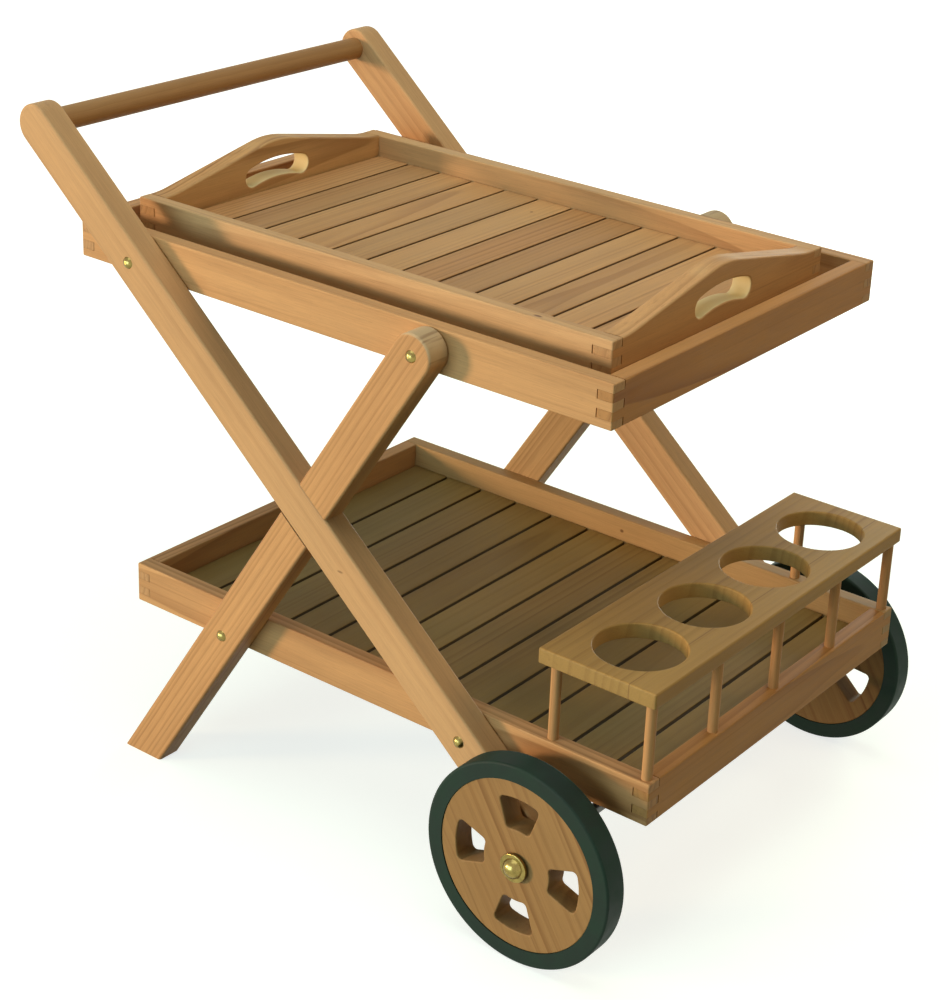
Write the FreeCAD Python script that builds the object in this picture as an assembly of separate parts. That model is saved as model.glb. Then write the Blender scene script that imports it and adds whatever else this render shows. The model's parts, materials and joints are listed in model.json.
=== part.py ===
"""Hardwood serving trolley with a lift-off tray, a slatted shelf and a bottle rack, in millimetres.

+X runs from the handle end to the wheel end, +Y to the left of the person pushing, +Z up.
The origin is on the floor, in the middle of the overall length and width.
"""
import FreeCAD, Part
import math
import os

from FreeCAD import Vector

# Overall sizes
overall_length = 826.0
deck_height = 608.0
handle_rise = 95.0
shelf_height = 218.0

# Rails of the upper frame and of the shelf
rail_thickness = 18.0
upper_rail_height = 46.0
upper_setback = 60.5
shelf_length = 690.0
shelf_rail_height = 46.0
shelf_setback = 2.0
rail_finger_count = 5

# Crossed legs
leg_width = 46.0
leg_thickness = 29.0
foot_top_behind_axle = 174.0
foot_sole_behind_axle = 550.0

# Handle bar
bar_radius = 13.0
bar_spigot_radius = 9.0
bar_spigot_length = 20.0

# Slatted floors
slat_count = 12
shelf_slat_thickness = 9.0
shelf_slat_gap = 4.0
shelf_batten_width = 20.0
shelf_batten_height = 9.0
tray_slat_thickness = 8.0
tray_slat_gap = 3.2
tray_batten_width = 16.0
tray_batten_height = 12.0

# Tray, the room around it in the upper frame and its seat on each bearer
tray_length = 620.0
tray_width = 382.0
tray_end_gap = 19.0
tray_side_gap = 31.0
tray_seat = 27.0
tray_rail_height = 44.5
tray_rail_thickness = 16.0
tray_end_thickness = 23.0
tray_finger_count = 5
bearer_thickness = 19.0
crest_rise = 30.0
crest_radius = 120.0
crest_foot_radius = 120.0
slot_height = 43.5
slot_arc_radius = 150.0
slot_half_span = 40.0
slot_radius = 11.0

# Bottle rack
rack_thickness = 17.0
rack_post_height = 81.0
rack_post_radius = 5.5
rack_post_depth = 10.0
rack_back_post_inset = 17.0
rack_front_web = 17.0
rack_back_web = 26.0
rack_side_web = 18.0
bottle_hole_radius = 47.0
bottle_hole_web = 21.0

# Wheels, axle and hubs
tyre_radius = 110.0
tyre_width = 28.0
tyre_round = 2.5
tyre_depth = 17.5
disc_recess = 1.0
disc_rim_width = 18.0
wheel_turn_deg = {"right": 0.0, "left": -24.0}
window_count = 4
window_inner_radius = 40.0
window_half_angle_deg = 19.0
window_corner_radius = 5.0
wheel_gap = 3.0
axle_radius = 6.0
bush_radius = 9.0
washer_radius = 14.0
washer_thickness = 1.5
cap_flange_radius = 15.5
cap_flange_thickness = 3.0
cap_dome_radius = 11.0
cap_dome_height = 8.0
cap_pocket_depth = 5.0

# Bolts through the legs into threaded inserts in the rails
bolt_radius = 3.0
bolt_head_radius = 6.5
bolt_head_height = 4.0
insert_radius = 5.0
insert_length = 14.0

# Eased edges, clearances and the overrun of cuts
leg_ease = 3.0
rail_ease = 1.5
slat_ease = 1.2
board_ease = 2.0
rim_ease = 1.5
window_ease = 1.5
disc_ease = 1.0
cap_ease = 1.0
joint_slack = 0.1
finger_slack = 0.1
finger_root_gap = 0.4
slat_end_gap = 0.5
running_clearance = 0.05
side_clearance = 0.3
overrun = 5.0
flat_tolerance = 0.001

# Sizes worked out from the driving sizes
frame_width = tray_width + 2 * (tray_side_gap + rail_thickness)
upper_length = tray_length + 2 * (tray_end_gap + rail_thickness)
handle_height = deck_height + handle_rise
bottle_hole_pitch = 2 * bottle_hole_radius + bottle_hole_web
bottle_hole_count = int((frame_width - 2 * rack_side_web + bottle_hole_web) / bottle_hole_pitch)
rack_depth = rack_front_web + 2 * bottle_hole_radius + rack_back_web
disc_radius = tyre_radius - tyre_depth
window_outer_radius = disc_radius - disc_rim_width

# Places worked out from the driving sizes
half_width = frame_width / 2
inner_half_width = half_width - rail_thickness
leg_outer_y = half_width + leg_thickness
leg_half = leg_width / 2
back_x = -overall_length / 2
front_x = overall_length / 2

axle = Vector(front_x - tyre_radius, 0, tyre_radius)
bar = Vector(back_x + leg_half, 0, handle_height)
upper_back_x = back_x + upper_setback
upper_front_x = upper_back_x + upper_length
upper_bottom = deck_height - upper_rail_height
upper_middle = deck_height - upper_rail_height / 2
shelf_front_x = front_x - shelf_setback
shelf_back_x = shelf_front_x - shelf_length
shelf_bottom = shelf_height - shelf_rail_height
shelf_middle = shelf_height - shelf_rail_height / 2
foot_top = Vector(axle.x - foot_top_behind_axle, 0, upper_middle)
foot_sole = Vector(axle.x - foot_sole_behind_axle, 0, 0)

tray_bottom = upper_bottom + bearer_thickness
tray_top = tray_bottom + tray_rail_height
tray_back_x = upper_back_x + rail_thickness + tray_end_gap
tray_front_x = tray_back_x + tray_length
tray_half = tray_width / 2

rack_back_x = shelf_front_x - rack_depth
rack_bottom = shelf_height + rack_post_height
rack_top = rack_bottom + rack_thickness

wheel_inner_y = leg_outer_y + wheel_gap
wheel_outer_y = wheel_inner_y + tyre_width
washer_outer_y = wheel_outer_y + side_clearance
cap_y = washer_outer_y + washer_thickness
axle_end_y = cap_y + cap_pocket_depth - side_clearance

sides = {"right": -1, "left": 1}


# Plain shapes


def box(x0, x1, y0, y1, z0, z1):
    return Part.makeBox(x1 - x0, y1 - y0, z1 - z0, Vector(x0, y0, z0))


def eased_box(limits, radius):
    solid = box(*limits)
    return solid.makeFillet(radius, solid.Edges)


def rod_y(x, z, radius, y0, y1):
    low = min(y0, y1)
    return Part.makeCylinder(radius, abs(y1 - y0), Vector(x, low, z), Vector(0, 1, 0))


def rod_z(x, y, radius, z0, z1):
    return Part.makeCylinder(radius, z1 - z0, Vector(x, y, z0))


def ring_y(x, z, outer, inner, y0, y1):
    return rod_y(x, z, outer, y0, y1).cut(rod_y(x, z, inner, y0, y1))


def arc(start, middle, end):
    return Part.Arc(start, middle, end).toShape()


def line(start, end):
    return Part.LineSegment(start, end).toShape()


def prism(edges, sweep):
    return Part.Face(Part.Wire(edges)).extrude(sweep)


def round_ended_beam(start, end, y0, y1):
    """A beam of the legs' width between two points, with a half-round end about each."""
    low = Vector(0, min(y0, y1), 0)
    along = (end - start).normalize() * leg_half
    across = Vector(-along.z, 0, along.x)
    a, b = start + low, end + low
    edges = [
        line(a + across, b + across),
        arc(b + across, b + along, b - across),
        line(b - across, a - across),
        arc(a - across, a - along, a + across),
    ]
    return prism(edges, Vector(0, abs(y1 - y0), 0))


def dome(x, z, base_y, radius, height, side):
    """A shallow ball cap standing on a plane across Y, crown towards the given side."""
    ball = (radius ** 2 + height ** 2) / (2 * height)
    half_turn = math.asin(radius / ball) / 2
    foot = Vector(x, base_y, z)
    rim = Vector(x + radius, base_y, z)
    crown = Vector(x, base_y + side * height, z)
    middle = Vector(x + ball * math.sin(half_turn), crown.y - side * ball * (1 - math.cos(half_turn)), z)
    profile = Part.Face(Part.Wire([line(foot, rim), arc(rim, middle, crown), line(crown, foot)]))
    return Part.Solid(profile.revolve(foot, Vector(0, 1, 0), 360))


def flat_edges(solid, axis):
    """The edges that lie in a plane across the given axis."""
    return [edge for edge in solid.Edges if getattr(edge.BoundBox, axis + "Length") < flat_tolerance]


# Finger-jointed frames


def finger_zones(bottom, top, count):
    """Heights of the fingers at a corner, from the top one down."""
    step = (top - bottom) / count
    return [(top - (index + 1) * step, top - index * step) for index in range(count)]


def cut_fingers(rail, limits, zones, first, depth, axis):
    """Cut every other finger zone away at both ends of a rail that runs along X or Y.

    The top finger closes tight; the ones below it leave a slit at their root.
    """
    x0, x1, y0, y1, z0, z1 = limits
    for index, (low, high) in enumerate(zones):
        if index % 2 != first:
            continue
        low = low - overrun if index == len(zones) - 1 else low - finger_slack
        high = high + overrun if index == 0 else high + finger_slack
        reach = depth + (finger_slack if index == 0 else finger_root_gap)
        if axis == "X":
            rail = rail.cut(box(x0 - overrun, x0 + reach, y0 - overrun, y1 + overrun, low, high))
            rail = rail.cut(box(x1 - reach, x1 + overrun, y0 - overrun, y1 + overrun, low, high))
        else:
            rail = rail.cut(box(x0 - overrun, x1 + overrun, y0 - overrun, y0 + reach, low, high))
            rail = rail.cut(box(x0 - overrun, x1 + overrun, y1 - reach, y1 + overrun, low, high))
    return rail


def side_span(side, inner, outer):
    return sorted((side * inner, side * outer))


def side_rail(side, x0, x1, bottom, top):
    """A long rail: its own fingers are the first, third and fifth."""
    limits = (x0, x1, *side_span(side, inner_half_width, half_width), bottom, top)
    zones = finger_zones(bottom, top, rail_finger_count)
    return cut_fingers(eased_box(limits, rail_ease), limits, zones, 1, rail_thickness, "X")


def end_rail(x0, bottom, top):
    """A short rail across the frame: its fingers are the second and fourth."""
    limits = (x0, x0 + rail_thickness, -half_width, half_width, bottom, top)
    zones = finger_zones(bottom, top, rail_finger_count)
    return cut_fingers(eased_box(limits, rail_ease), limits, zones, 0, rail_thickness, "Y")


def floor_slats(x0, x1, half_span, top, thickness, gap):
    """Slats across the floor, evenly spaced between the two end boards."""
    pitch = (x1 - x0) / slat_count
    reach = half_span - slat_end_gap
    slats = []
    for index in range(slat_count):
        low = x0 + index * pitch + gap / 2
        high = x0 + (index + 1) * pitch - gap / 2
        slats.append(eased_box((low, high, -reach, reach, top - thickness, top), slat_ease))
    return slats


# Places where the bolts cross the side rails


def on_axis(start, end, height):
    """The point of a leg's centre line at a height."""
    share = (height - start.z) / (end.z - start.z)
    return start + (end - start) * share


handle_leg_bolts = [on_axis(bar, axle, upper_middle), on_axis(bar, axle, shelf_middle)]
foot_leg_bolts = [foot_top, on_axis(foot_top, foot_sole, shelf_middle)]


def bolt_holes(shape, bolts, side):
    for place in bolts:
        hole = rod_y(place.x, place.z, bolt_radius + joint_slack, side * half_width, side * leg_outer_y)
        shape = shape.cut(hole)
    return shape


def insert_pockets(rail, bolts, side):
    for place in bolts:
        pocket_end = half_width - insert_length
        pocket = rod_y(place.x, place.z, insert_radius + joint_slack, side * pocket_end, side * half_width)
        rail = rail.cut(pocket)
    return rail


# Legs and handle


def handle_leg(side):
    inner, outer = side * half_width, side * leg_outer_y
    middle = (inner + outer) / 2
    leg = round_ended_beam(bar, axle, inner, outer)
    leg = leg.makeFillet(leg_ease, flat_edges(leg, "Y"))
    leg = leg.cut(round_ended_beam(foot_top, foot_sole, inner - side * overrun, middle))
    spigot_end = side * (half_width + bar_spigot_length + joint_slack)
    leg = leg.cut(rod_y(bar.x, bar.z, bar_spigot_radius + joint_slack, inner, spigot_end))
    leg = leg.cut(rod_y(axle.x, axle.z, axle_radius + joint_slack, inner, outer))
    return bolt_holes(leg, handle_leg_bolts, side)


def foot_leg(side):
    inner, outer = side * half_width, side * leg_outer_y
    middle = (inner + outer) / 2
    below_floor = foot_sole + (foot_sole - foot_top).normalize() * leg_width
    leg = round_ended_beam(foot_top, below_floor, inner, outer)
    leg = leg.makeFillet(leg_ease, flat_edges(leg, "Y"))
    floor_cut = box(back_x, front_x, *side_span(side, 0, leg_outer_y + overrun), -handle_height, 0)
    leg = leg.cut(floor_cut)
    leg = leg.cut(round_ended_beam(bar, axle, middle, outer + side * overrun))
    return bolt_holes(leg, foot_leg_bolts, side)


def handle_bar():
    spigot_y = half_width + bar_spigot_length
    grip = rod_y(bar.x, bar.z, bar_radius, -half_width, half_width)
    return grip.fuse(rod_y(bar.x, bar.z, bar_spigot_radius, -spigot_y, spigot_y)).removeSplitter()


# Upper frame


def upper_frame():
    nodes = {}
    for name, side in sides.items():
        rail = side_rail(side, upper_back_x, upper_front_x, upper_bottom, deck_height)
        nodes["top_%s_rail" % name] = insert_pockets(rail, [handle_leg_bolts[0], foot_leg_bolts[0]], side)
    nodes["top_front_rail"] = end_rail(upper_front_x - rail_thickness, upper_bottom, deck_height)
    nodes["top_back_rail"] = end_rail(upper_back_x, upper_bottom, deck_height)
    inside_back = upper_back_x + rail_thickness
    inside_front = upper_front_x - rail_thickness
    spans = {
        "back": (inside_back, tray_back_x + tray_seat),
        "front": (tray_front_x - tray_seat, inside_front),
    }
    for name, (x0, x1) in spans.items():
        limits = (x0, x1, -inner_half_width, inner_half_width, upper_bottom, tray_bottom)
        nodes["%s_tray_bearer" % name] = box(*limits)
    return nodes


# Shelf with its bottle rack


def rack_post_places():
    inset = rail_thickness / 2
    reach = half_width - inset
    step = 2 * reach / bottle_hole_count
    front_line = shelf_front_x - inset
    back_line = rack_back_x + rack_back_post_inset
    front = [Vector(front_line, index * step - reach, 0) for index in range(bottle_hole_count + 1)]
    back = [Vector(back_line, side * reach, 0) for side in sides.values()]
    return front + back


def post_sockets(shape, bottom, top):
    for place in rack_post_places():
        shape = shape.cut(rod_z(place.x, place.y, rack_post_radius + joint_slack, bottom, top))
    return shape


def shelf():
    nodes = {}
    socket_bottom = shelf_height - rack_post_depth - joint_slack
    for name, side in sides.items():
        rail = side_rail(side, shelf_back_x, shelf_front_x, shelf_bottom, shelf_height)
        rail = insert_pockets(rail, [handle_leg_bolts[1], foot_leg_bolts[1]], side)
        nodes["shelf_%s_rail" % name] = post_sockets(rail, socket_bottom, shelf_height)
    front = end_rail(shelf_front_x - rail_thickness, shelf_bottom, shelf_height)
    nodes["shelf_front_rail"] = post_sockets(front, socket_bottom, shelf_height)
    nodes["shelf_back_rail"] = end_rail(shelf_back_x, shelf_bottom, shelf_height)
    x0 = shelf_back_x + rail_thickness
    x1 = shelf_front_x - rail_thickness
    floor_bottom = shelf_bottom + shelf_batten_height
    floor_top = floor_bottom + shelf_slat_thickness
    for name, side in sides.items():
        span = side_span(side, inner_half_width - shelf_batten_width, inner_half_width)
        nodes["shelf_%s_batten" % name] = box(x0, x1, *span, shelf_bottom, floor_bottom)
    slats = floor_slats(x0, x1, inner_half_width, floor_top, shelf_slat_thickness, shelf_slat_gap)
    for index, slat in enumerate(slats):
        nodes["shelf_slat_%02d" % (index + 1)] = slat
    return nodes


def bottle_hole_places():
    x = shelf_front_x - rack_front_web - bottle_hole_radius
    first = -bottle_hole_pitch * (bottle_hole_count - 1) / 2
    return [Vector(x, first + index * bottle_hole_pitch, 0) for index in range(bottle_hole_count)]


def rack_board():
    limits = (rack_back_x, shelf_front_x, -half_width, half_width, rack_bottom, rack_top)
    board = eased_box(limits, board_ease)
    for place in bottle_hole_places():
        board = board.cut(rod_z(place.x, place.y, bottle_hole_radius, rack_bottom, rack_top))
    rims = [edge for edge in flat_edges(board, "Z") if edge.isClosed()]
    board = board.makeFillet(rim_ease, rims)
    return post_sockets(board, rack_bottom, rack_bottom + rack_post_depth + joint_slack)


def rack_posts():
    low = shelf_height - rack_post_depth
    high = rack_bottom + rack_post_depth
    places = rack_post_places()
    return Part.makeCompound([rod_z(place.x, place.y, rack_post_radius, low, high) for place in places])


# Tray


def crest_edges(x):
    """The ogee along the top of a tray end: a round crest, two straight slopes, two hollow feet."""
    width = tray_half - tray_rail_thickness
    radii = crest_radius + crest_foot_radius
    room = 2 * radii - crest_rise
    half_slope = math.atan((width - math.sqrt(width ** 2 - room * crest_rise)) / room)
    slope = 2 * half_slope
    crest_y = crest_radius * math.sin(slope)
    crest_z = tray_top + crest_rise - crest_radius * (1 - math.cos(slope))
    foot_y = width - crest_foot_radius * math.sin(slope)
    foot_z = tray_top + crest_foot_radius * (1 - math.cos(slope))
    hollow_y = width - crest_foot_radius * math.sin(half_slope)
    hollow_z = tray_top + crest_foot_radius * (1 - math.cos(half_slope))

    def at(y, z):
        return Vector(x, y, z)

    return [
        line(at(tray_half, tray_top), at(width, tray_top)),
        arc(at(width, tray_top), at(hollow_y, hollow_z), at(foot_y, foot_z)),
        line(at(foot_y, foot_z), at(crest_y, crest_z)),
        arc(at(crest_y, crest_z), at(0, tray_top + crest_rise), at(-crest_y, crest_z)),
        line(at(-crest_y, crest_z), at(-foot_y, foot_z)),
        arc(at(-foot_y, foot_z), at(-hollow_y, hollow_z), at(-width, tray_top)),
        line(at(-width, tray_top), at(-tray_half, tray_top)),
    ]


def hand_slot(x):
    """A kidney-shaped hand hole that follows the crest."""
    turn = math.asin(slot_half_span / slot_arc_radius)
    centre_z = tray_bottom + slot_height - slot_arc_radius
    outer = slot_arc_radius + slot_radius
    inner = slot_arc_radius - slot_radius

    def at(radius, angle):
        return Vector(x - overrun, radius * math.sin(angle), centre_z + radius * math.cos(angle))

    def end_middle(way):
        tangent = Vector(0, math.cos(turn), -math.sin(turn) * way)
        return at(slot_arc_radius, turn * way) + tangent * (slot_radius * way)

    edges = [
        arc(at(outer, -turn), at(outer, 0), at(outer, turn)),
        arc(at(outer, turn), end_middle(1), at(inner, turn)),
        arc(at(inner, turn), at(inner, 0), at(inner, -turn)),
        arc(at(inner, -turn), end_middle(-1), at(outer, -turn)),
    ]
    return prism(edges, Vector(tray_end_thickness + 2 * overrun, 0, 0))


def tray_end(x):
    corners = [Vector(x, y, z) for y, z in ((-tray_half, tray_top), (-tray_half, tray_bottom),
                                            (tray_half, tray_bottom), (tray_half, tray_top))]
    edges = crest_edges(x) + [line(start, end) for start, end in zip(corners, corners[1:])]
    board = prism(edges, Vector(tray_end_thickness, 0, 0)).cut(hand_slot(x))
    board = board.makeFillet(board_ease, flat_edges(board, "X"))
    limits = (x, x + tray_end_thickness, -tray_half, tray_half, tray_bottom, tray_top)
    zones = finger_zones(tray_bottom, tray_top, tray_finger_count)
    return cut_fingers(board, limits, zones, 0, tray_rail_thickness, "Y")


def tray():
    nodes = {}
    inner_half = tray_half - tray_rail_thickness
    zones = finger_zones(tray_bottom, tray_top, tray_finger_count)
    for name, side in sides.items():
        limits = (tray_back_x, tray_front_x, *side_span(side, inner_half, tray_half), tray_bottom, tray_top)
        rail = eased_box(limits, rail_ease)
        nodes["tray_%s_rail" % name] = cut_fingers(rail, limits, zones, 1, tray_end_thickness, "X")
    nodes["tray_front_end"] = tray_end(tray_front_x - tray_end_thickness)
    nodes["tray_back_end"] = tray_end(tray_back_x)
    x0 = tray_back_x + tray_end_thickness
    x1 = tray_front_x - tray_end_thickness
    floor_bottom = tray_bottom + tray_batten_height
    floor_top = floor_bottom + tray_slat_thickness
    for name, side in sides.items():
        span = side_span(side, inner_half - tray_batten_width, inner_half)
        nodes["tray_%s_batten" % name] = box(x0, x1, *span, tray_bottom, floor_bottom)
    slats = floor_slats(x0, x1, inner_half, floor_top, tray_slat_thickness, tray_slat_gap)
    for index, slat in enumerate(slats):
        nodes["tray_slat_%02d" % (index + 1)] = slat
    return nodes


# Wheels, axle and fasteners


def wheel_window(turn, y0, y1):
    """One of the openings through a wheel: a sector of a ring with rounded corners."""
    half = math.radians(window_half_angle_deg)

    def at(radius, angle):
        return Vector(axle.x + radius * math.cos(angle), y0, axle.z + radius * math.sin(angle))

    low, high = turn - half, turn + half
    edges = [
        arc(at(window_outer_radius, low), at(window_outer_radius, turn), at(window_outer_radius, high)),
        line(at(window_outer_radius, high), at(window_inner_radius, high)),
        arc(at(window_inner_radius, high), at(window_inner_radius, turn), at(window_inner_radius, low)),
        line(at(window_inner_radius, low), at(window_outer_radius, low)),
    ]
    solid = prism(edges, Vector(0, y1 - y0, 0))
    corners = [edge for edge in solid.Edges if edge.BoundBox.YLength > flat_tolerance]
    return solid.makeFillet(window_corner_radius, corners)


def wheel_disc(side, turn_deg):
    y0, y1 = side_span(side, wheel_inner_y + disc_recess, wheel_outer_y - disc_recess)
    disc = rod_y(axle.x, axle.z, disc_radius, y0, y1)
    disc = disc.makeFillet(disc_ease, flat_edges(disc, "Y"))
    for index in range(window_count):
        turn = math.radians(turn_deg) + 2 * math.pi * index / window_count
        disc = disc.cut(wheel_window(turn, y0 - overrun, y1 + overrun))
    window_reach = disc_radius - disc_ease
    edges = [edge for edge in flat_edges(disc, "Y") if edge.BoundBox.DiagonalLength < window_reach]
    disc = disc.makeFillet(window_ease, edges)
    return disc.cut(rod_y(axle.x, axle.z, bush_radius + joint_slack, y0, y1))


def tyre(side):
    y0, y1 = side * wheel_inner_y, side * wheel_outer_y
    band = rod_y(axle.x, axle.z, tyre_radius, y0, y1)
    band = band.makeFillet(tyre_round, flat_edges(band, "Y"))
    return band.cut(rod_y(axle.x, axle.z, disc_radius + joint_slack, y0, y1))


def hub_bush(side):
    start = leg_outer_y + washer_thickness + side_clearance
    bore = axle_radius + running_clearance
    return ring_y(axle.x, axle.z, bush_radius, bore, side * start, side * wheel_outer_y)


def axle_washers():
    bore = axle_radius + joint_slack
    solids = []
    for side in sides.values():
        for start in (leg_outer_y, washer_outer_y):
            end = start + washer_thickness
            solids.append(ring_y(axle.x, axle.z, washer_radius, bore, side * start, side * end))
    return Part.makeCompound(solids)


def hub_cap(side):
    crown_y = side * (cap_y + cap_flange_thickness)
    pocket_end = side * (cap_y + cap_pocket_depth)
    flange = rod_y(axle.x, axle.z, cap_flange_radius, side * cap_y, crown_y)
    rims = [edge for edge in flat_edges(flange, "Y") if abs(edge.BoundBox.YMin - crown_y) < cap_ease]
    flange = flange.makeFillet(cap_ease, rims)
    crown = dome(axle.x, axle.z, crown_y, cap_dome_radius, cap_dome_height, side)
    pocket = rod_y(axle.x, axle.z, axle_radius + joint_slack, side * cap_y, pocket_end)
    return flange.fuse(crown).cut(pocket)


def leg_bolt(place, side):
    shank_end = half_width - insert_length
    shank = rod_y(place.x, place.z, bolt_radius, side * shank_end, side * leg_outer_y)
    return shank.fuse(dome(place.x, place.z, side * leg_outer_y, bolt_head_radius, bolt_head_height, side))


def threaded_insert(place, side):
    start = half_width - insert_length
    bore = bolt_radius + joint_slack
    return ring_y(place.x, place.z, insert_radius, bore, side * start, side * half_width)


def running_gear():
    nodes = {}
    for name, side in sides.items():
        nodes["%s_wheel_disc" % name] = wheel_disc(side, wheel_turn_deg[name])
        nodes["%s_tyre" % name] = tyre(side)
        nodes["%s_hub_bush" % name] = hub_bush(side)
    nodes["wheel_axle"] = rod_y(axle.x, axle.z, axle_radius, -axle_end_y, axle_end_y)
    nodes["axle_washers"] = axle_washers()
    nodes["hub_caps"] = Part.makeCompound([hub_cap(side) for side in sides.values()])
    return nodes


def fasteners():
    places = [(place, side) for side in sides.values() for place in handle_leg_bolts + foot_leg_bolts]
    return {
        "leg_bolts": Part.makeCompound([leg_bolt(place, side) for place, side in places]),
        "threaded_inserts": Part.makeCompound([threaded_insert(place, side) for place, side in places]),
    }


def trolley():
    nodes = {}
    for name, side in sides.items():
        nodes["%s_handle_leg" % name] = handle_leg(side)
        nodes["%s_foot_leg" % name] = foot_leg(side)
    nodes["handle_bar"] = handle_bar()
    nodes.update(upper_frame())
    nodes.update(shelf())
    nodes["bottle_rack_board"] = rack_board()
    nodes["bottle_rack_posts"] = rack_posts()
    nodes.update(tray())
    nodes.update(running_gear())
    nodes.update(fasteners())
    return nodes


os.makedirs("parts", exist_ok=True)
for node_name, node_shape in trolley().items():
    node_shape.exportStep("parts/%s.step" % node_name)
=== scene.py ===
"""Looks of the hardwood serving trolley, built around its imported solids, in metres.

+X runs from the handle end to the wheel end, +Y to the left of the person pushing, +Z up.
"""
import json
import math
import random

import bpy
from mathutils import Euler, Matrix, Vector


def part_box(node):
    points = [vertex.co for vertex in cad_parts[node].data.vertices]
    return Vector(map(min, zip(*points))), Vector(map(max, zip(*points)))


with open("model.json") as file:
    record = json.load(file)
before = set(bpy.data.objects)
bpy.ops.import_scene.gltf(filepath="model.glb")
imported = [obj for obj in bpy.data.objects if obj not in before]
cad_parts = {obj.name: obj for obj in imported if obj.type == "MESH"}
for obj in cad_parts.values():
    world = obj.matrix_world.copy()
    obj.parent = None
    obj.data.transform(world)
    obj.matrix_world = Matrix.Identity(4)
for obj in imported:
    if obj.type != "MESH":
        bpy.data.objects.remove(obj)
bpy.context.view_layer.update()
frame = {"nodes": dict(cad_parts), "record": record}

# Camera, as fitted to the photograph
image_size = (941, 1000)
focal_px = 2191.65
principal_point_px = (537.47, 391.64)
camera_place = Vector((1.34724, -1.75416, 1.34364))
camera_azimuth = math.radians(35.75)
camera_elevation = math.radians(22.33)
camera_roll = math.radians(2.96)
sensor_width_mm = 36.0

# Light: place, size, power and colour of each lamp, all turned to the middle of the trolley
lamp_target = Vector((0.0, 0.0, 0.40))
lamps = {
    "key": (Vector((-5.4, -5.9, 1.20)), 1.3, 503.0, (1.0, 0.70, 0.48)),
    "fill": (Vector((-0.3, -3.0, 0.55)), 2.0, 66.0, (0.60, 0.86, 0.98)),
    "top": (Vector((0.1, -0.2, 3.0)), 2.6, 44.0, (0.82, 0.94, 1.0)),
    "back": (Vector((-0.4, 3.0, 0.55)), 1.0, 45.0, (0.86, 0.98, 0.94)),
    "front": (Vector((2.4, 0.5, 2.4)), 1.2, 19.0, (1.0, 0.68, 0.36)),
}
pure_white = (1.0, 1.0, 1.0, 1.0)
sky_colour = (0.76, 1.0, 0.72)
sky_strength = 0.14
floor_half = 14.0
floor_roughness = 0.9
floor_albedo = (0.12, 0.14, 0.10)
floor_seen_albedo = (0.50, 0.56, 0.44)
floor_glow_near, floor_glow_far = 0.73, 1.0
floor_near, floor_far = 0.5, 2.2

# Wood tones, as linear colours
honey = (0.560, 0.302, 0.120, 1.0)
rose = (0.505, 0.258, 0.098, 1.0)
late_wood = (0.290, 0.125, 0.042, 1.0)
end_wood = (0.300, 0.215, 0.115, 1.0)
weathered_wood = (0.520, 0.360, 0.190, 1.0)
pore_wood = (0.200, 0.095, 0.036, 1.0)
knot_wood = (0.130, 0.055, 0.022, 1.0)
bare_wood = (0.780, 0.650, 0.340, 1.0)


# Shader trees


class Graph:
    """Writes a shader tree: each method adds one node and returns its output."""

    def __init__(self, tree):
        self.tree = tree

    def put(self, kind, inputs, **settings):
        node = self.tree.nodes.new(kind)
        for key, value in settings.items():
            setattr(node, key, value)
        for key, value in inputs.items():
            self.feed(node, key, value)
        return node

    def feed(self, node, key, value):
        """Link an output to an input, or set the input to a plain value."""
        if isinstance(value, bpy.types.NodeSocket):
            self.tree.links.new(value, node.inputs[key])
        else:
            node.inputs[key].default_value = value

    def math(self, operation, a, b=0.0):
        return self.put("ShaderNodeMath", {0: a, 1: b}, operation=operation).outputs[0]

    def vector(self, operation, a, b):
        return self.put("ShaderNodeVectorMath", {0: a, 1: b}, operation=operation).outputs[0]

    def length(self, a):
        return self.put("ShaderNodeVectorMath", {0: a}, operation="LENGTH").outputs["Value"]

    def dot(self, a, b):
        return self.put("ShaderNodeVectorMath", {0: a, 1: b}, operation="DOT_PRODUCT").outputs["Value"]

    def part_x(self, a):
        return self.put("ShaderNodeSeparateXYZ", {0: a}).outputs[0]

    def noise(self, place, scale, detail, seed):
        """Noise from 0 to 1, with its own number of features per metre along each axis."""
        stretched = self.vector("MULTIPLY", place, scale)
        inputs = {"Vector": stretched, "W": seed, "Scale": 1.0, "Detail": detail}
        return self.put("ShaderNodeTexNoise", inputs, noise_dimensions="4D").outputs[0]

    def swing(self, value, depth):
        """Turn noise about one half into a swing about zero."""
        return self.math("MULTIPLY", self.math("SUBTRACT", value, 0.5), 2 * depth)

    def total(self, *values):
        result = values[0]
        for value in values[1:]:
            result = self.math("ADD", result, value)
        return result

    def product(self, *values):
        result = values[0]
        for value in values[1:]:
            result = self.math("MULTIPLY", result, value)
        return result

    def fade(self, value, low, high, to_low=0.0, to_high=1.0):
        """A smooth step from one value to another."""
        inputs = {"Value": value, "From Min": low, "From Max": high, "To Min": to_low, "To Max": to_high}
        return self.put("ShaderNodeMapRange", inputs, interpolation_type="SMOOTHSTEP").outputs[0]

    def blend(self, share, a, b, mode="MIX"):
        inputs = {0: share, 6: a, 7: b}
        return self.put("ShaderNodeMix", inputs, data_type="RGBA", blend_type=mode).outputs[2]

    def shaded(self, colour, level):
        """A colour made lighter or darker by a level about one."""
        grey = self.put("ShaderNodeCombineColor", {0: level, 1: level, 2: level}).outputs[0]
        return self.blend(1.0, colour, grey, "MULTIPLY")

    def bump(self, height, strength, depth):
        inputs = {"Height": height, "Strength": strength, "Distance": depth}
        return self.put("ShaderNodeBump", inputs).outputs[0]


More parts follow.
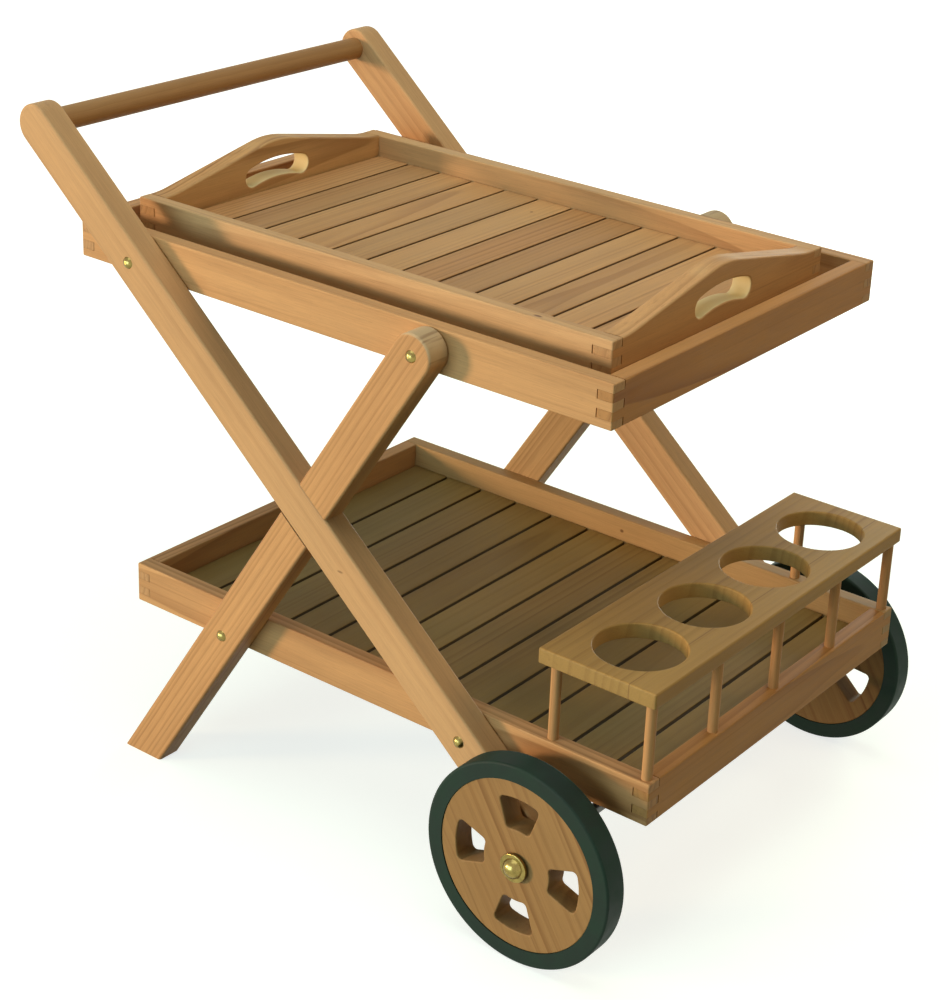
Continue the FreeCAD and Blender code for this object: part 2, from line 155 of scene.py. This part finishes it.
def new_material(name):
    material = bpy.data.materials.new(name)
    material.use_nodes = True
    tree = material.node_tree
    tree.nodes.clear()
    graph = Graph(tree)
    shader = graph.put("ShaderNodeBsdfPrincipled", {})
    graph.put("ShaderNodeOutputMaterial", {"Surface": shader.outputs[0]})
    return material, graph, shader


# Wood: features per metre along and across the grain, the range of the noise that shows as a feature,
# and how far each one moves the rings or the tone

few_octaves, some_octaves, many_octaves = 1.0, 2.0, 3.0
wobble_scale, wobble_depth = (1.5, 8.0, 8.0), 0.007
drift_scale, drift_depth = (4.5, 30.0, 30.0), 0.0022
uneven_pitch, uneven_depth = 0.4, 0.7
ring_rise, ring_fall, ring_least = (0.25, 0.88), (0.90, 1.0), 0.15
presence_scale, presence_range, presence_least = (2.4, 30.0, 30.0), (0.30, 0.70), 0.42
broad_scale, broad_range = (1.6, 13.0, 13.0), (0.30, 0.70)
streak_scale, streak_depth = (1.3, 110.0, 110.0), 0.15
line_scale, line_range, line_share = (1.0, 190.0, 190.0), (0.56, 0.74), 0.42
blotch_scale, blotch_depth = (9.0, 26.0, 26.0), 0.10
fibre_scale, fibre_depth = (36.0, 1100.0, 1100.0), 0.20
pore_scale, pore_range, pore_share = (140.0, 2200.0, 2200.0), (0.66, 0.74), 0.25

# Tones that depend on how squarely a face is turned to the grain or to the X axis, painted shade on the
# sides of the slats that face into the gaps between them, and tones of a place
x_axis = Vector((1.0, 0.0, 0.0))
end_share, end_facing = 0.22, (0.60, 0.92)
weathered_share, weathered_facing = 0.85, (0.15, 0.60)
check_scale, check_range, check_share = (60.0, 14.0, 230.0), (0.54, 0.70), 0.75
# Painted shade: slat faces turned along the X axis, into the gaps, are darkened to this level
slat_gap_shade_facing, slat_gap_shade_level = (0.70, 0.95), 0.30
hand_hole_reach, hand_hole_core = (0.050, 0.075, 0.032), 0.80
bare_facing, bare_share = (0.35, 0.85), 0.90
mark_core = 0.40

# Sheen and relief
wood_gloss = 0.18
wood_roughness, roughness_range = (0.48, 0.66), (0.20, 0.80)
fibre_height, fibre_bump, fibre_bump_depth = 0.5, 0.22, 0.0004


def ring_bands(graph, board, heart, seed, spacing):
    """Dark bands of uneven growth rings about the heart of a trunk, stronger in some rings and places."""
    across = graph.vector("MULTIPLY", graph.vector("SUBTRACT", board, heart), (0.0, 1.0, 1.0))
    taper = graph.product(graph.part_x(board), graph.part_x(heart))
    wobble = graph.swing(graph.noise(board, wobble_scale, few_octaves, seed), wobble_depth)
    drift = graph.swing(graph.noise(board, drift_scale, some_octaves, seed), drift_depth)
    radius = graph.total(graph.length(across), taper, wobble, drift)
    even = graph.math("DIVIDE", radius, spacing)
    pitch = graph.total(graph.product(even, uneven_pitch), seed)
    pitch_noise = graph.put("ShaderNodeTexNoise", {"W": pitch, "Scale": 1.0}, noise_dimensions="1D")
    rings = graph.total(even, graph.swing(pitch_noise.outputs[0], uneven_depth))
    phase = graph.math("FRACT", rings)
    ring_seed = graph.total(graph.math("FLOOR", rings), seed)
    dice = graph.put("ShaderNodeTexWhiteNoise", {"W": ring_seed}, noise_dimensions="1D").outputs[0]
    rise = graph.fade(phase, *ring_rise)
    fall = graph.fade(phase, *ring_fall, 1.0, 0.0)
    strength = graph.fade(dice, ring_least, 1.0, ring_least, 1.0)
    there = graph.noise(board, presence_scale, few_octaves, seed)
    presence = graph.fade(there, *presence_range, presence_least, 1.0)
    return graph.product(rise, fall, strength, presence)


def grain_level(graph, board, seed, fibre):
    """How light the wood is, about one, from its fibres, streaks and blotches."""
    streak = graph.noise(board, streak_scale, many_octaves, seed)
    blotch = graph.noise(board, blotch_scale, many_octaves, seed)
    return graph.total(1.0, graph.swing(fibre, fibre_depth), graph.swing(streak, streak_depth),
                       graph.swing(blotch, blotch_depth))


def wood_group():
    """Planed timber, shared by all boards: growth rings, lines, level of the grain, end grain, pores."""
    tree = bpy.data.node_groups.new("planed_wood", "ShaderNodeTree")
    graph = Graph(tree)
    sockets = {"Board": "NodeSocketVector", "Heart": "NodeSocketVector", "End": "NodeSocketFloat",
               "Seed": "NodeSocketFloat", "Spacing": "NodeSocketFloat", "Figure": "NodeSocketFloat"}
    for name, kind in sockets.items():
        tree.interface.new_socket(name, in_out="INPUT", socket_type=kind)
    for name, kind in {"Colour": "NodeSocketColor", "Roughness": "NodeSocketFloat",
                       "Height": "NodeSocketFloat"}.items():
        tree.interface.new_socket(name, in_out="OUTPUT", socket_type=kind)
    given = graph.put("NodeGroupInput", {}).outputs
    board, seed = given["Board"], given["Seed"]

    late = ring_bands(graph, board, given["Heart"], seed, given["Spacing"])
    line = graph.fade(graph.noise(board, line_scale, some_octaves, seed), *line_range, 0.0, line_share)
    fibre = graph.noise(board, fibre_scale, many_octaves, seed)
    pore = graph.fade(graph.noise(board, pore_scale, few_octaves, seed), *pore_range)
    broad = graph.fade(graph.noise(board, broad_scale, some_octaves, seed), *broad_range)

    colour = graph.blend(broad, honey, rose)
    colour = graph.blend(graph.product(graph.total(late, line), given["Figure"]), colour, late_wood)
    colour = graph.shaded(colour, grain_level(graph, board, seed, fibre))
    colour = graph.blend(given["End"], colour, end_wood)
    colour = graph.blend(graph.product(pore, pore_share), colour, pore_wood)
    roughness = graph.fade(fibre, *roughness_range, *wood_roughness)
    height = graph.math("SUBTRACT", graph.product(fibre, fibre_height), pore)
    graph.put("NodeGroupOutput", {"Colour": colour, "Roughness": roughness, "Height": height})


def facing(graph, normal, direction):
    """How squarely a face is turned to a direction or away from it, from 0 to 1."""
    return graph.math("ABSOLUTE", graph.dot(normal, direction))


def spot(graph, place, centre, reach, core, share):
    """A share within the core of an ellipsoid, which fades to nothing at its edge."""
    away = graph.vector("SUBTRACT", place, centre)
    distance = graph.length(graph.vector("DIVIDE", away, reach))
    return graph.fade(distance, core, 1.0, share, 0.0)


def weather(graph, colour, end_on, board, seed):
    """Pale ends with dark checks."""
    share = graph.fade(end_on, *weathered_facing, 0.0, weathered_share)
    split = graph.noise(board, check_scale, some_octaves, seed)
    check = graph.fade(split, *check_range, 0.0, check_share)
    colour = graph.blend(share, colour, weathered_wood)
    return graph.blend(graph.product(share, check), colour, pore_wood)


def bare_hole(graph, colour, place, normal, hole):
    """Pale wood on the inner faces of a hole that runs along the X axis."""
    near = spot(graph, place, hole, hand_hole_reach, hand_hole_core, 1.0)
    inside = graph.fade(facing(graph, normal, x_axis), *bare_facing, bare_share, 0.0)
    return graph.blend(graph.product(near, inside), colour, bare_wood)


def wood(name, box, turn, heart, seed, spacing, figure, tone, marks, hole):
    """A board's own material: its grain runs along the local X axis of its turned frame."""
    material, graph, shader = new_material(name)
    coordinates = graph.put("ShaderNodeTexCoord", {}).outputs
    place, normal = coordinates["Object"], coordinates["Normal"]
    inputs = {"Vector": place, "Location": (box[0] + box[1]) / 2, "Rotation": turn}
    board = graph.put("ShaderNodeMapping", inputs, vector_type="TEXTURE").outputs[0]
    end_on = facing(graph, normal, Euler(turn).to_matrix() @ x_axis)
    end = graph.fade(end_on, *end_facing, 0.0, end_share)
    inputs = {"Board": board, "Heart": heart, "End": end, "Seed": seed, "Spacing": spacing, "Figure": figure}
    timber = graph.put("ShaderNodeGroup", inputs, node_tree=bpy.data.node_groups["planed_wood"])
    colour = graph.blend(1.0, timber.outputs["Colour"], (*tone, 1.0), "MULTIPLY")
    if "foot_leg" in name:
        colour = weather(graph, colour, end_on, board, seed)
    # Painted shade in the gaps: the sides of each slat, turned along the X axis, are darkened
    if "slat" in name:
        slat_side_in_shade = facing(graph, normal, x_axis)
        colour = graph.shaded(colour, graph.fade(slat_side_in_shade, *slat_gap_shade_facing, 1.0, slat_gap_shade_level))
    if hole:
        colour = bare_hole(graph, colour, place, normal, hole)
    for centre, reach, share in marks:
        colour = graph.blend(spot(graph, place, centre, reach, mark_core, share), colour, knot_wood)
    graph.feed(shader, "Base Color", colour)
    graph.feed(shader, "Roughness", timber.outputs["Roughness"])
    graph.feed(shader, "Normal", graph.bump(timber.outputs["Height"], fibre_bump, fibre_bump_depth))
    graph.feed(shader, "Specular IOR Level", wood_gloss)
    return material


# Rubber, metal and plastic: clouds per metre, darkest and lightest share of the colour, and roughness

cloud_octaves, cloud_seed = 4.0, 2.0
cloud_tone_range, cloud_rough_range = (0.30, 0.70), (0.25, 0.75)
rubber_cloud, rubber_rough, rubber_gloss = (45.0, 0.75, 1.25), (0.55, 0.72), 0.18
skin_scale, skin_seed = (1500.0, 1500.0, 1500.0), 5.0
skin_bump, skin_depth = 0.15, 0.0003
metal_cloud = (160.0, 1.0, 0.66)
nylon_cloud, nylon_rough = (220.0, 0.85, 1.0), (0.45, 0.55)


def cloudy(name, colour, scale, dark_share, light_share, rough):
    """A material of one colour in darker and lighter clouds, rougher where it is lighter."""
    material, graph, shader = new_material(name)
    place = graph.put("ShaderNodeTexCoord", {}).outputs["Object"]
    cloud = graph.noise(place, (scale, scale, scale), cloud_octaves, cloud_seed)
    dark = tuple(dark_share * part for part in colour) + (1.0,)
    light = tuple(light_share * part for part in colour) + (1.0,)
    graph.feed(shader, "Base Color", graph.blend(graph.fade(cloud, *cloud_tone_range), dark, light))
    graph.feed(shader, "Roughness", graph.fade(cloud, *cloud_rough_range, *rough))
    return material, graph, shader, place


def rubber(name, colour):
    material, graph, shader, place = cloudy(name, colour, *rubber_cloud, rubber_rough)
    skin = graph.noise(place, skin_scale, some_octaves, skin_seed)
    graph.feed(shader, "Normal", graph.bump(skin, skin_bump, skin_depth))
    graph.feed(shader, "Specular IOR Level", rubber_gloss)
    return material


def metal(name, colour, rough):
    material, graph, shader = cloudy(name, colour, *metal_cloud, rough)[:3]
    graph.feed(shader, "Metallic", 1.0)
    return material


def nylon(name, colour):
    return cloudy(name, colour, *nylon_cloud, nylon_rough)[0]


# Which way each board's grain runs

along_x = (0.0, 0.0, 0.0)
along_y = (0.0, 0.0, math.pi / 2)
along_z = (0.0, -math.pi / 2, 0.0)
disc_grain = (0.0, math.radians(58.0), 0.0)


def turned_in_xz(direction):
    return (0.0, math.atan2(-direction.z, direction.x), 0.0)


def middle(node):
    low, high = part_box(node)
    return (low + high) / 2


def leg_turns():
    """The slopes of both pairs of legs, from the axle and the bar, and from the sole and the round top."""
    places = {mount["name"]: Vector(mount["pos_m"]) for mount in frame["record"]["mounts"]}
    half_width = middle("handle_bar").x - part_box("right_handle_leg")[0].x
    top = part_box("right_foot_leg")[1]
    sole = places["right_foot_sole"]
    foot = Vector((top.x - half_width - sole.x, 0.0, top.z - half_width))
    return {"handle": turned_in_xz(middle("wheel_axle") - middle("handle_bar")), "foot": turned_in_xz(foot)}


turns = leg_turns()


def grain_of(node):
    if "handle_leg" in node:
        return turns["handle"]
    if "foot_leg" in node:
        return turns["foot"]
    if "wheel_disc" in node:
        return disc_grain
    if node == "bottle_rack_posts":
        return along_z
    if "slat" in node or "front" in node or "back" in node or node in ("handle_bar", "bottle_rack_board"):
        return along_y
    return along_x


# How each kind of board looks: ring spacing, strength of figure, tone (on some boards darkened as painted
# shade), spread of tone from board to board,
# and how its trunk's heart lies: "side" for straight lines on the broad face, "under" for long arches,
# "any" for a draw between the two. The first name here that a node's name holds is its kind

board_looks = {
    "handle_leg": (0.0150, 0.55, (1.03, 1.11, 1.22), 0.02, "side"),
    # Painted shade: the far foot leg is darker than the near one
    "left_foot_leg": (0.0065, 0.60, (0.90, 0.99, 0.99), 0.02, "side"),
    "foot_leg": (0.0065, 0.75, (1.08, 1.07, 1.06), 0.02, "side"),
    "handle_bar": (0.0120, 0.30, (0.72, 0.70, 0.62), 0.00, "side"),
    # Painted shade: the upper front rail, whose face turns away from the key lamp, is darker and warmer than
    # the side rails
    "top_front": (0.0060, 1.20, (0.92, 0.81, 0.64), 0.03, "under"),
    "top_": (0.0060, 0.95, (1.04, 1.04, 1.04), 0.03, "under"),
    "tray_slat": (0.0070, 0.55, (0.93, 0.92, 0.90), 0.16, "any"),
    # Partly painted shade: the shelf slats under the tray are darker and greener than the tray slats
    "shelf_slat": (0.0090, 0.40, (0.56, 0.70, 0.56), 0.04, "any"),
    "tray_front": (0.0070, 1.00, (1.03, 1.04, 1.04), 0.03, "under"),
    "tray_back": (0.0070, 1.00, (0.98, 1.04, 1.03), 0.03, "under"),
    "tray_": (0.0070, 0.60, (1.09, 1.20, 1.34), 0.03, "under"),
    # Painted shade: the far shelf rail is darker than the near one
    "shelf_left": (0.0080, 0.80, (0.81, 0.90, 0.88), 0.03, "under"),
    # Painted shade: the shelf front rail, whose face turns away from the key lamp, is darker and warmer than
    # the side rails
    "shelf_front": (0.0080, 0.80, (0.89, 0.81, 0.62), 0.03, "under"),
    "shelf_": (0.0080, 0.80, (1.02, 1.02, 1.02), 0.03, "under"),
    # Partly its own tone, partly painted shade: the rack board under the tray is darker and greener
    "bottle_rack_board": (0.0100, 0.60, (0.74, 0.79, 0.56), 0.00, "side"),
    "bottle_rack_posts": (0.0060, 0.35, (0.95, 0.93, 0.90), 0.00, "side"),
    "wheel_disc": (0.0130, 0.85, (0.59, 0.60, 0.52), 0.02, "side"),
}

# Small marks seen in the photograph: middle, reach along each axis, strength
wood_marks = {
    "shelf_left_rail": [((0.059, 0.222, 0.202), (0.0035, 0.004, 0.0028), 0.85)],
    "tray_right_rail": [((0.2136, -0.1849, 0.6255), (0.0065, 0.0028, 0.0020), 0.85)],
    "tray_slat_06": [((-0.0296, 0.1295, 0.6010), (0.0022, 0.0030, 0.0020), 0.70)],
    "right_handle_leg": [((0.0453, -0.2690, 0.3293), (0.0050, 0.0020, 0.0018), 0.55)],
    "bottle_rack_board": [((0.3800, 0.0, 0.3160), (0.0010, 9.0, 9.0), 0.45)],
}


def hand_hole_middles():
    """The middle of the hand hole through each tray end."""
    middles = {}
    for opening in frame["record"]["physics"]["openings"]:
        end, found, rest = opening["name"].partition("_hand_hole")
        if found and not rest:
            low, high = opening["box_m"]
            middles["tray_%s_end" % end] = (Vector(low) + Vector(high)) / 2
    return middles


hand_holes = hand_hole_middles()


# Taper of the trunk, and how deep and how wide its heart lies from the middle of the board
side_taper, side_deep, side_wide = 0.004, 0.02, (0.12, 0.20)
under_taper, under_deep, under_wide = (0.015, 0.030), (0.035, 0.060), 0.012

# Where the draws for the boards begin, and how far apart the noise of two boards can lie
wood_seed, seed_span = 7, 90.0


def heart_of(way, dice):
    """Taper of the trunk along the board, and where its heart lies from the middle of the board."""
    side = dice.choice((-1, 1))
    if way == "any":
        way = dice.choice(("side", "side", "under"))
    if way == "side":
        taper = dice.uniform(-side_taper, side_taper)
        return (taper, side_deep * side, dice.uniform(*side_wide) * side)
    taper = dice.uniform(*under_taper) * side
    deep = dice.uniform(*under_deep)
    return (taper, deep, dice.uniform(-under_wide, under_wide))


def look_of(node):
    return next(look for part, look in board_looks.items() if part in node)


def wood_look(node, dice):
    spacing, figure, tone, spread, way = look_of(node)
    turn = grain_of(node)
    taper, deep, wide = heart_of(way, dice)
    lies_flat = "slat" in node or node == "bottle_rack_board"
    heart = (taper, wide, deep) if lies_flat else (taper, deep, wide)
    level = 1.0 + dice.uniform(-spread, spread)
    warmth = dice.uniform(-spread, spread) / 2
    tint = (tone[0] * level, tone[1] * level * (1.0 - warmth / 2), tone[2] * level * (1.0 - warmth))
    marks = wood_marks.get(node, [])
    seed = dice.uniform(0.0, seed_span)
    hole = hand_holes.get(node)
    return wood(node + "_wood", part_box(node), turn, heart, seed, spacing, figure, tint, marks, hole)


# Dressing the solids

brass = ("brass", metal, ((0.34, 0.25, 0.075), (0.18, 0.30)))
steel = ("steel", metal, ((0.11, 0.11, 0.10), (0.35, 0.50)))
tyre_green = ("tyre", rubber, ((0.008, 0.021, 0.012),))
bush_white = ("bush", nylon, ((0.66, 0.63, 0.56),))
plain_looks = {
    "right_tyre": tyre_green, "left_tyre": tyre_green,
    "leg_bolts": brass, "hub_caps": brass, "threaded_inserts": brass,
    "wheel_axle": steel, "axle_washers": steel,
    "right_hub_bush": bush_white, "left_hub_bush": bush_white,
}


def dress():
    wood_group()
    dice = random.Random(wood_seed)
    made = {}
    for node in sorted(frame["nodes"]):
        if node in plain_looks:
            name, maker, values = plain_looks[node]
            if name not in made:
                made[name] = maker(name, *values)
            material = made[name]
        else:
            material = wood_look(node, dice)
        for slot in frame["nodes"][node].material_slots:
            slot.material = material


# Camera, light and floor


def place_camera():
    sin_a, cos_a = math.sin(camera_azimuth), math.cos(camera_azimuth)
    sin_e, cos_e = math.sin(camera_elevation), math.cos(camera_elevation)
    back = Vector((sin_a * cos_e, -cos_a * cos_e, sin_e))
    level_right = Vector((cos_a, sin_a, 0.0))
    level_up = back.cross(level_right)
    right = math.cos(camera_roll) * level_right + math.sin(camera_roll) * level_up
    up = back.cross(right)
    camera = bpy.data.objects.new("camera", bpy.data.cameras.new("camera"))
    bpy.context.scene.collection.objects.link(camera)
    camera.matrix_world = Matrix.Translation(camera_place) @ Matrix((right, up, back)).transposed().to_4x4()
    long_side = max(image_size)
    camera.data.sensor_width = sensor_width_mm
    camera.data.lens = focal_px / long_side * sensor_width_mm
    camera.data.shift_x = (image_size[0] / 2 - principal_point_px[0]) / long_side
    camera.data.shift_y = (principal_point_px[1] - image_size[1] / 2) / long_side
    bpy.context.scene.camera = camera


def hang_lamps():
    for name, (place, size, power, colour) in lamps.items():
        lamp = bpy.data.lights.new(name, "AREA")
        lamp.size = size
        lamp.energy = power
        lamp.color = colour
        holder = bpy.data.objects.new(name, lamp)
        bpy.context.scene.collection.objects.link(holder)
        holder.location = place
        holder.rotation_euler = (lamp_target - place).to_track_quat("-Z", "Y").to_euler()


def seen_directly(graph):
    """One for rays from the camera and for mirror and glass rays, which show the white background."""
    path = graph.put("ShaderNodeLightPath", {}).outputs
    rays = graph.math("MAXIMUM", path["Is Camera Ray"], path["Is Glossy Ray"])
    return graph.math("MAXIMUM", rays, path["Is Transmission Ray"])


def light_world():
    world = bpy.data.worlds.new("studio")
    world.use_nodes = True
    world.node_tree.nodes.clear()
    graph = Graph(world.node_tree)
    fill = graph.put("ShaderNodeBackground", {"Color": (*sky_colour, 1.0), "Strength": sky_strength})
    white = graph.put("ShaderNodeBackground", {"Color": pure_white, "Strength": 1.0})
    inputs = {0: seen_directly(graph), 1: fill.outputs[0], 2: white.outputs[0]}
    mixed = graph.put("ShaderNodeMixShader", inputs)
    graph.put("ShaderNodeOutputWorld", {"Surface": mixed.outputs[0]})
    bpy.context.scene.world = world


def lay_floor():
    corners = [(-floor_half, -floor_half, 0), (floor_half, -floor_half, 0),
               (floor_half, floor_half, 0), (-floor_half, floor_half, 0)]
    mesh = bpy.data.meshes.new("floor")
    mesh.from_pydata(corners, [], [(0, 1, 2, 3)])
    floor = bpy.data.objects.new("floor", mesh)
    bpy.context.scene.collection.objects.link(floor)
    material, graph, shader = new_material("floor")
    seen = seen_directly(graph)
    graph.feed(shader, "Base Color", graph.blend(seen, (*floor_albedo, 1.0), (*floor_seen_albedo, 1.0)))
    graph.feed(shader, "Roughness", floor_roughness)
    graph.feed(shader, "Specular IOR Level", 0.0)
    graph.feed(shader, "Emission Color", pure_white)
    place = graph.put("ShaderNodeTexCoord", {}).outputs["Object"]
    glow = graph.fade(graph.length(place), floor_near, floor_far, floor_glow_near, floor_glow_far)
    graph.feed(shader, "Emission Strength", graph.product(seen, glow))
    mesh.materials.append(material)


dress()
place_camera()
hang_lamps()
light_world()
lay_floor()
bpy.context.scene.view_settings.view_transform = "Standard"
